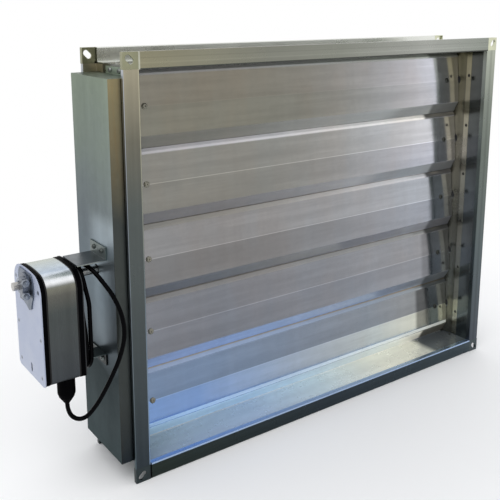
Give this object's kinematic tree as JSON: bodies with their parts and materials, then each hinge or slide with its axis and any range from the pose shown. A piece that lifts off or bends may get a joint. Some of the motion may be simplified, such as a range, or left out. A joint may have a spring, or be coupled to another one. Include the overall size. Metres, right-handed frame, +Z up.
{
  "type": "multi-blade duct shutter damper",
  "caption": "Rectangular air duct shutter damper with parallel overlapping blades, flanged galvanised casing, covered side linkage and a rotary actuator with its lead.",
  "frame": {"origin": "centre of the duct opening, in the face plane of the front flange", "axes": "+X to the right seen from the front, +Y along the duct away from the front flange, +Z up"},
  "size_m": [0.943, 0.1472, 0.648],
  "materials": {
    "casing_sheet": "hot-dip galvanised sheet, fine spangle, satin",
    "flange_profile": "roll-formed galvanised strip, satin",
    "corner_plate": "pressed galvanised plate, satin",
    "blade_sheet": "galvanised sheet, bright",
    "seal_strip": "thin stainless strip, bright",
    "rivet": "bright rivet",
    "shaft_steel": "zinc-plated round bar",
    "link_steel": "zinc-plated flat steel",
    "fastener": "zinc-plated",
    "cover_sheet": "hot-dip galvanised sheet, fine spangle, satin",
    "bush_plastic": "moulded nylon",
    "actuator_plate": "pale coated sheet, smooth",
    "actuator_back": "galvanised sheet, satin",
    "actuator_housing": "brushed",
    "gasket": "moulded rubber, semi-gloss",
    "gland_rubber": "moulded rubber, matt",
    "cable_jacket": "smooth jacket",
    "tie_plastic": "nylon"
  },
  "bodies": {
    "casing": {"casing_top": "casing_sheet", "casing_bottom": "casing_sheet", "casing_left": "casing_sheet", "casing_right": "casing_sheet", "casing_rivets": "rivet", "seal_rivets": "rivet", "front_flange_top": "flange_profile", "front_flange_bottom": "flange_profile", "front_flange_left": "flange_profile", "front_flange_right": "flange_profile", "front_flange_corners": "corner_plate", "back_flange_top": "flange_profile", "back_flange_bottom": "flange_profile", "back_flange_left": "flange_profile", "back_flange_right": "flange_profile", "back_flange_corners": "corner_plate", "left_side_seal": "seal_strip", "right_side_seal": "seal_strip", "left_bushes": "bush_plastic", "right_bushes": "bush_plastic", "linkage_cover": "cover_sheet", "cover_screws": "fastener", "bracket_screws": "fastener", "plate_screws": "fastener", "upper_bracket": "link_steel", "lower_bracket": "link_steel", "actuator_back_plate": "actuator_back", "actuator_front_plate": "actuator_plate", "actuator_back_gasket": "gasket", "actuator_front_gasket": "gasket", "actuator_housing": "actuator_housing", "cable_gland": "gland_rubber", "cable": "cable_jacket", "cable_coil": "cable_jacket", "cable_tie": "tie_plastic"},
    "blade_unit_1": {"blade_1": "blade_sheet", "shaft_1": "shaft_steel", "blade_rivets_1": "rivet", "lever_1": "link_steel"},
    "blade_unit_2": {"blade_2": "blade_sheet", "shaft_2": "shaft_steel", "blade_rivets_2": "rivet", "lever_2": "link_steel"},
    "blade_unit_3": {"blade_3": "blade_sheet", "shaft_3": "shaft_steel", "blade_rivets_3": "rivet", "lever_3": "link_steel", "shaft_clamp": "link_steel", "clamp_bow": "fastener", "clamp_nuts": "fastener", "position_pointer": "link_steel"},
    "blade_unit_4": {"blade_4": "blade_sheet", "shaft_4": "shaft_steel", "blade_rivets_4": "rivet", "lever_4": "link_steel"},
    "blade_unit_5": {"blade_5": "blade_sheet", "shaft_5": "shaft_steel", "blade_rivets_5": "rivet", "lever_5": "link_steel"},
    "link": {"link_bar": "link_steel"}
  },
  "joints": [
    {"name": "blade_3_turn", "type": "hinge", "parent": "casing", "child": "blade_unit_3", "pos_m": [0, 0.07, 0.002], "axis": [-1, 0, 0], "range_deg": [0, 90]},
    {"name": "blade_1_turn", "type": "hinge", "parent": "casing", "child": "blade_unit_1", "pos_m": [0, 0.07, 0.239], "axis": [-1, 0, 0], "range_deg": [0, 90]},
    {"name": "blade_2_turn", "type": "hinge", "parent": "casing", "child": "blade_unit_2", "pos_m": [0, 0.07, 0.1205], "axis": [-1, 0, 0], "range_deg": [0, 90]},
    {"name": "blade_4_turn", "type": "hinge", "parent": "casing", "child": "blade_unit_4", "pos_m": [0, 0.07, -0.1165], "axis": [-1, 0, 0], "range_deg": [0, 90]},
    {"name": "blade_5_turn", "type": "hinge", "parent": "casing", "child": "blade_unit_5", "pos_m": [0, 0.07, -0.235], "axis": [-1, 0, 0], "range_deg": [0, 90]},
    {"name": "link_bar_pivot", "type": "hinge", "parent": "blade_unit_3", "child": "link", "pos_m": [-0.3912, 0.09475, 0.02675], "axis": [-1, 0, 0], "range_deg": [-90, 0]}
  ],
  "couplings": [
    {"joint": "blade_1_turn", "follows": "blade_3_turn", "ratio": 1},
    {"joint": "blade_2_turn", "follows": "blade_3_turn", "ratio": 1},
    {"joint": "blade_4_turn", "follows": "blade_3_turn", "ratio": 1},
    {"joint": "blade_5_turn", "follows": "blade_3_turn", "ratio": 1},
    {"joint": "link_bar_pivot", "follows": "blade_3_turn", "ratio": -1}
  ]
}
